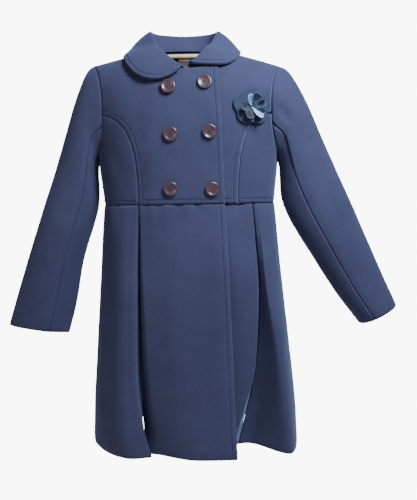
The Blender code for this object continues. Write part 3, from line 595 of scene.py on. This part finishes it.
cloth(
    "collar", collar_way, (0.470, 0.105), 0.0416, ["bodice_front_right", "bodice_back"],
    creases=[
        ((-70, -22), (-52, -66), 11, 0.7, -1, False),
        ((62, -24), (46, -62), 11, 0.6, -1, False),
        ((-40, 50), (-30, 30), 16, 0.6, 1, False),
    ],
    stitched=leaf_edge, plain=where(lambda x, y, z: False), rumple=0.55,
)


# Topstitching
# Single rows of matching thread, set in from the edges. Each stitch sinks a little into the nap.

STITCH = 3.4 * MM
STITCH_PITCH = 4.2 * MM
THREAD = 0.28 * MM

thread = coat_material("stitch_thread", (0.020, 0.024, 0.060), (0.032, 0.038, 0.085), 0.2, False)


def grain(bm, place, along, out, length, thick):
    """One stitch, shaped like a grain of rice."""
    side = out.cross(along).normalized()
    turn = Matrix((side, out, along)).transposed().to_4x4()
    shape = Matrix.Diagonal((thick, thick * 0.8, length / 2, 1))
    bmesh.ops.create_uvsphere(
        bm, u_segments=6, v_segments=4, radius=1, matrix=Matrix.Translation(place) @ turn @ shape
    )


def resampled(line, pitch):
    """Points at equal steps along a line."""
    steps = np.linalg.norm(np.diff(line, axis=0), axis=1)
    along = np.concatenate([[0], np.cumsum(steps)])
    places = np.arange(pitch / 2, along[-1], pitch)
    return np.stack([np.interp(places, along, line[:, k]) for k in range(3)], axis=1)


def topstitch(name, inset=WELT):
    mesh, runs = finished[name]
    tree = BVHTree.FromPolygons([v.co for v in mesh.vertices], [p.vertices for p in mesh.polygons])
    bm = bmesh.new()
    for run in runs:
        if len(run) < 4:
            continue
        line = resampled(run, STITCH_PITCH)
        for k in range(1, len(line) - 1):
            along = Vector(line[k + 1] - line[k - 1]).normalized()
            here, out, _, _ = tree.find_nearest(Vector(line[k]))
            across = out.cross(along).normalized()
            tries = [tree.find_nearest(here + across * inset * way) for way in (-1, 1)]
            place, out, _, _ = max(tries, key=lambda hit: (hit[0] - here).length)
            along = (along - out * along.dot(out)).normalized()
            grain(bm, place + out * 0.05 * MM, along, out, STITCH, THREAD)
    mesh = bpy.data.meshes.new(f"{name}_stitches")
    bm.to_mesh(mesh)
    bm.free()
    mesh.shade_smooth()
    mesh.materials.append(thread)
    piece = bpy.data.objects.new(f"{name}_stitches", mesh)
    bpy.context.scene.collection.objects.link(piece)
    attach(piece, "root")


for name in (
    "bodice_front_right", "bodice_front_left", "bodice_side_right", "bodice_side_left",
    "bodice_back", "skirt_front_right", "collar",
):
    topstitch(name)


# Buttons
# Six moulded two-hole buttons of dark plum plastic, with a raised rim round a dished middle.
# Each is sewn on through its holes with a few turns of navy thread.

BUTTON_ROUND = 48
BUTTON_PROFILE = [  # share of the radius and of the thickness, from the front's middle outwards
    (0.0, 0.58), (0.30, 0.58), (0.48, 0.60), (0.62, 0.70), (0.74, 0.94), (0.83, 1.0),
    (0.92, 0.95), (0.98, 0.74), (1.0, 0.48), (0.97, 0.18), (0.90, 0.0), (0.0, 0.0),
]
HOLE_OFF = 1.9 * MM
HOLE_RADIUS = 0.95 * MM


def plum_plastic():
    made = bpy.data.materials.new("plum_button")
    made.use_nodes = True
    tree = made.node_tree
    link = tree.links.new
    shader = tree.nodes["Principled BSDF"]
    shader.inputs["Coat Weight"].default_value = 0.35
    shader.inputs["Coat Roughness"].default_value = 0.12
    place = node(tree, "ShaderNodeTexCoord", (-1200, 0))
    swirl = node(tree, "ShaderNodeTexNoise", (-900, 150), Scale=130.0, Detail=4.0, Distortion=1.6)
    link(place.outputs["Object"], swirl.inputs["Vector"])
    tone = node(tree, "ShaderNodeMix", (-500, 150), data_type="RGBA")
    tone.inputs["A"].default_value = (0.040, 0.016, 0.028, 1)
    tone.inputs["B"].default_value = (0.090, 0.042, 0.058, 1)
    link(swirl.outputs["Fac"], tone.inputs["Factor"])
    link(tone.outputs["Result"], shader.inputs["Base Color"])
    worn = node(tree, "ShaderNodeTexNoise", (-900, -150), Scale=900.0, Detail=3.0)
    link(place.outputs["Object"], worn.inputs["Vector"])
    matt = node(tree, "ShaderNodeMapRange", (-500, -150))
    matt.inputs["To Min"].default_value = 0.18
    matt.inputs["To Max"].default_value = 0.36
    link(worn.outputs["Fac"], matt.inputs["Value"])
    link(matt.outputs["Result"], shader.inputs["Roughness"])
    bump = node(tree, "ShaderNodeBump", (-300, -350), Strength=0.08, Distance=0.0002)
    link(worn.outputs["Fac"], bump.inputs["Height"])
    link(bump.outputs["Normal"], shader.inputs["Normal"])
    return made


plum = plum_plastic()


def lie_of(name):
    """The middle of a flat solid's back, the way it faces, its radius and its thickness."""
    found = points_of(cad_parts[name].data)
    middle = (found.min(axis=0) + found.max(axis=0)) / 2
    way = np.linalg.svd(found - found.mean(axis=0), full_matrices=False)[2][2]
    way = way * (-1 if way[1] > 0 else 1)
    heights = (found - middle) @ way
    flat = found - middle - heights[:, None] * way
    radius = float(np.linalg.norm(flat, axis=1).max())
    base = Vector(middle + way * heights.min())
    return base, Vector(way), radius, float(np.ptp(heights))


def whole(name, bm):
    made = bpy.data.meshes.new(name)
    bm.to_mesh(made)
    bm.free()
    obj = bpy.data.objects.new(name, made)
    bpy.context.scene.collection.objects.link(obj)
    return obj


for number in range(1, 7):
    base, way, radius, thick = lie_of(f"button_{number}")
    turn = way.to_track_quat("Z", "Y").to_matrix().to_4x4()
    turn.translation = base
    bm = bmesh.new()
    line = [bm.verts.new((r * radius, 0, h * thick)) for r, h in BUTTON_PROFILE]
    edges = [bm.edges.new(pair) for pair in zip(line, line[1:])]
    bmesh.ops.spin(
        bm, geom=[*line, *edges], cent=(0, 0, 0), axis=(0, 0, 1), angle=math.tau,
        steps=BUTTON_ROUND, use_merge=True, use_duplicate=False,
    )
    bmesh.ops.remove_doubles(bm, verts=bm.verts[:], dist=0.00001)
    bmesh.ops.recalc_face_normals(bm, faces=bm.faces[:])
    disc = whole(f"button_{number}_plastic", bm)
    punches = []
    for off in (-HOLE_OFF, HOLE_OFF):
        bm = bmesh.new()
        bmesh.ops.create_cone(
            bm, cap_ends=True, segments=20, radius1=HOLE_RADIUS, radius2=HOLE_RADIUS, depth=0.02,
            matrix=Matrix.Translation((0, off, 0)),
        )
        punch = whole("punch", bm)
        cut = disc.modifiers.new("hole", "BOOLEAN")
        cut.operation, cut.solver, cut.object = "DIFFERENCE", "EXACT", punch
        punches.append(punch)
    shape = disc.evaluated_get(bpy.context.evaluated_depsgraph_get())
    drilled = bpy.data.meshes.new_from_object(shape)
    disc.modifiers.clear()
    disc.data = drilled
    for punch in punches:
        bpy.data.objects.remove(punch)
    drilled.transform(turn)
    drilled.shade_smooth()
    drilled.set_sharp_from_angle(angle=math.radians(40))
    drilled.materials.clear()
    drilled.materials.append(plum)
    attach(disc, "root")
    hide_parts(f"button_{number}")

    bm = bmesh.new()
    for off in (-0.35, 0.35):
        start = Vector((off * MM, 0, 0.60 * thick))
        grain(bm, start, Vector((0, 1, 0)), Vector((0, 0, 1)), 2 * HOLE_OFF + 1.0 * MM, 0.32 * MM)
    sewn = whole(f"button_{number}_thread", bm)
    sewn.data.transform(turn)
    sewn.data.shade_smooth()
    sewn.data.materials.append(thread)
    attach(sewn, "root")


# Flower
# A brooch of felt petals in two layers, sewn to the left front. The lower layer is one piece
# with five round lobes; over it stand five petals, and two pale folded ones in the middle.


def felt_material(name, middle, rim):
    """Felt with a painted highlight along its cut edge: the edge is coloured lighter than its face, from each
    point's distance to its edge.
    """
    made = coat_material(name, middle, tuple(1.25 * c for c in middle), 1.3, False)
    tree = made.node_tree
    tone = next(n for n in tree.nodes if n.bl_idname == "ShaderNodeMix")
    shader = tree.nodes["Principled BSDF"]
    edge = node(tree, "ShaderNodeAttribute", (-900, 600), attribute_name="from_seam")
    near = node(tree, "ShaderNodeMapRange", (-600, 600), interpolation_type="SMOOTHSTEP")
    near.inputs["From Min"].default_value = 0.02
    near.inputs["From Max"].default_value = 0.24
    tree.links.new(edge.outputs["Fac"], near.inputs["Value"])
    # Painted highlight: the rim colour takes over near the cut edge.
    both = node(tree, "ShaderNodeMix", (-300, 450), data_type="RGBA")
    both.inputs["A"].default_value = (*rim, 1)
    tree.links.new(tone.outputs["Result"], both.inputs["B"])
    tree.links.new(near.outputs["Result"], both.inputs["Factor"])
    tree.links.new(both.outputs["Result"], shader.inputs["Base Color"])
    return made


# The second colour of each felt is its painted edge highlight.
lower_felt = felt_material("flower_lower_felt", (0.028, 0.034, 0.070), (0.120, 0.150, 0.230))
upper_felt = felt_material("flower_upper_felt", (0.016, 0.022, 0.052), (0.075, 0.100, 0.165))
# A duller, browner copy of the upper petal felt: painted shade on petals 4 and 5.
painted_shade_felt = felt_material("flower_shaded_felt", (0.026, 0.020, 0.034), (0.070, 0.066, 0.085))
pale_felt = felt_material("flower_pale_felt", (0.270, 0.350, 0.640), (0.420, 0.500, 0.780))
_, flower_faces, _, _ = lie_of("flower_base")


def flower_way(centre):
    return flower_faces


cloth(
    "flower_base", flower_way, (0.061, 0.061), 0.0029, ["bodice_front_left"], rumple=0.12,
    material=lower_felt, thick=1.4 * MM, slot="navy_felt", held="laid",
)
# Petals 4 and 5 take the painted shade felt.
for number, material in ((1, upper_felt), (2, upper_felt), (3, upper_felt), (4, painted_shade_felt), (5, painted_shade_felt)):
    cloth(
        f"flower_petal_{number}", flower_way, (0.020, 0.020), 0.00027, ["flower_base"],
        rumple=0.15, material=material, thick=1.1 * MM, slot="navy_felt", held="laid",
    )
for number in (1, 2):
    cloth(
        f"flower_heart_{number}", flower_way, (0.020, 0.014), 0.00018, ["flower_base"],
        rumple=0.15, material=pale_felt, thick=1.1 * MM, slot="pale_felt", held="folded",
    )


# Label
# A bare satin label inside the back of the neck, woven with fine ribs.


def satin_material():
    made = bpy.data.materials.new("label_satin_weave")
    made.use_nodes = True
    tree = made.node_tree
    link = tree.links.new
    shader = tree.nodes["Principled BSDF"]
    shader.inputs["Roughness"].default_value = 0.42
    shader.inputs["Sheen Weight"].default_value = 0.3
    place = node(tree, "ShaderNodeTexCoord", (-1000, 0))
    ribs = node(tree, "ShaderNodeTexWave", (-700, 0), bands_direction="Z", Scale=380.0, Distortion=0.4)
    link(place.outputs["Object"], ribs.inputs["Vector"])
    tone = node(tree, "ShaderNodeMix", (-400, 100), data_type="RGBA")
    tone.inputs["A"].default_value = (0.80, 0.42, 0.44, 1)
    tone.inputs["B"].default_value = (0.92, 0.58, 0.58, 1)
    link(ribs.outputs["Fac"], tone.inputs["Factor"])
    link(tone.outputs["Result"], shader.inputs["Base Color"])
    bump = node(tree, "ShaderNodeBump", (-300, -200), Strength=0.3, Distance=0.0002)
    link(ribs.outputs["Fac"], bump.inputs["Height"])
    link(bump.outputs["Normal"], shader.inputs["Normal"])
    return made


def to_front(centre):
    return Vector((0, -1, 0))


cloth(
    "label", to_front, (0.031, 0.027), 0.00082, ["bodice_back"], rumple=0.05,
    material=satin_material(), thick=0.7 * MM, slot="label_satin", held="laid",
)


# Hanger bar
# A round bar of pale wood through the shoulders. The grain runs along it.


def wood_material():
    made = bpy.data.materials.new("bar_wood")
    made.use_nodes = True
    tree = made.node_tree
    link = tree.links.new
    shader = tree.nodes["Principled BSDF"]
    shader.inputs["Roughness"].default_value = 0.45
    shader.inputs["Coat Weight"].default_value = 0.15
    place = node(tree, "ShaderNodeTexCoord", (-1200, 0))
    drawn = node(tree, "ShaderNodeMapping", (-1000, 0), Scale=(0.06, 1.0, 1.0))
    grain_lines = node(tree, "ShaderNodeTexNoise", (-750, 0), Scale=700.0, Detail=4.0, Distortion=0.3)
    link(place.outputs["Object"], drawn.inputs["Vector"])
    link(drawn.outputs["Vector"], grain_lines.inputs["Vector"])
    tone = node(tree, "ShaderNodeMix", (-400, 100), data_type="RGBA")
    tone.inputs["A"].default_value = (0.52, 0.34, 0.14, 1)
    tone.inputs["B"].default_value = (0.80, 0.64, 0.38, 1)
    link(grain_lines.outputs["Fac"], tone.inputs["Factor"])
    link(tone.outputs["Result"], shader.inputs["Base Color"])
    bump = node(tree, "ShaderNodeBump", (-300, -200), Strength=0.15, Distance=0.0002)
    link(grain_lines.outputs["Fac"], bump.inputs["Height"])
    link(bump.outputs["Normal"], shader.inputs["Normal"])
    return made


bm = bmesh.new()
bm.from_mesh(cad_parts["hanger_bar"].data)
bmesh.ops.remove_doubles(bm, verts=bm.verts[:], dist=0.00002)
bar = whole("hanger_bar_wood", bm)
bar.data.shade_smooth()
bar.data.set_sharp_from_angle(angle=math.radians(60))
bar.data.materials.clear()
bar.data.materials.append(wood_material())
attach(bar, "root")
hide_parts("hanger_bar")


# Floor and light
# A plain white room: a big soft light at the viewer's right and above, and a dim one at the left.

bm = bmesh.new()
bmesh.ops.create_grid(bm, x_segments=2, y_segments=2, size=20, matrix=Matrix.Translation((0, 0, -0.95)))
floor = whole("floor", bm)
paper = bpy.data.materials.new("floor_paper")
paper.use_nodes = True
paper.node_tree.nodes["Principled BSDF"].inputs["Base Color"].default_value = (0.93, 0.93, 0.93, 1)
paper.node_tree.nodes["Principled BSDF"].inputs["Roughness"].default_value = 0.9
tree = paper.node_tree
glow = node(tree, "ShaderNodeEmission", (0, -300), Color=(1, 1, 1, 1), Strength=9.0)
first = node(tree, "ShaderNodeLightPath", (0, 300))
mixed = node(tree, "ShaderNodeMixShader", (250, 0))
tree.links.new(first.outputs["Is Camera Ray"], mixed.inputs[0])
tree.links.new(tree.nodes["Principled BSDF"].outputs[0], mixed.inputs[1])
tree.links.new(glow.outputs[0], mixed.inputs[2])
tree.links.new(mixed.outputs[0], tree.nodes["Material Output"].inputs["Surface"])
floor.data.materials.append(paper)

AIM = Vector((0.06, 0, -0.16))  # the chest

world = bpy.data.worlds.new("room")
world.use_nodes = True
world.node_tree.nodes["Background"].inputs["Color"].default_value = (1, 1, 1, 1)
around = world.node_tree.nodes["Background"]
around.inputs["Strength"].default_value = 0.20
seen = node(world.node_tree, "ShaderNodeBackground", (0, -200), Color=(1, 1, 1, 1), Strength=9.0)
which = node(world.node_tree, "ShaderNodeLightPath", (0, 300))
mixed = node(world.node_tree, "ShaderNodeMixShader", (250, 0))
world.node_tree.links.new(which.outputs["Is Camera Ray"], mixed.inputs[0])
world.node_tree.links.new(around.outputs[0], mixed.inputs[1])
world.node_tree.links.new(seen.outputs[0], mixed.inputs[2])
world.node_tree.links.new(mixed.outputs[0], world.node_tree.nodes["World Output"].inputs["Surface"])
bpy.context.scene.world = world

for name, place, size, power, colour in (
    ("key", (0.46, -0.62, 0.50), 0.40, 25, (0.72, 0.93, 1.0)),
    ("fill", (-0.95, -1.25, 0.25), 0.9, 4, (1.0, 0.86, 0.92)),
    ("back", (0.50, 1.60, 0.60), 1.2, 9, (1.0, 0.97, 0.98)),
):
    lamp = bpy.data.lights.new(name, "AREA")
    lamp.shape, lamp.size, lamp.energy, lamp.color = "DISK", size, power, colour
    light = bpy.data.objects.new(name, lamp)
    aim = AIM - Vector(place)
    light.matrix_world = Matrix.Translation(place) @ aim.to_track_quat("-Z", "Y").to_matrix().to_4x4()
    bpy.context.scene.collection.objects.link(light)


bpy.context.view_layer.update()
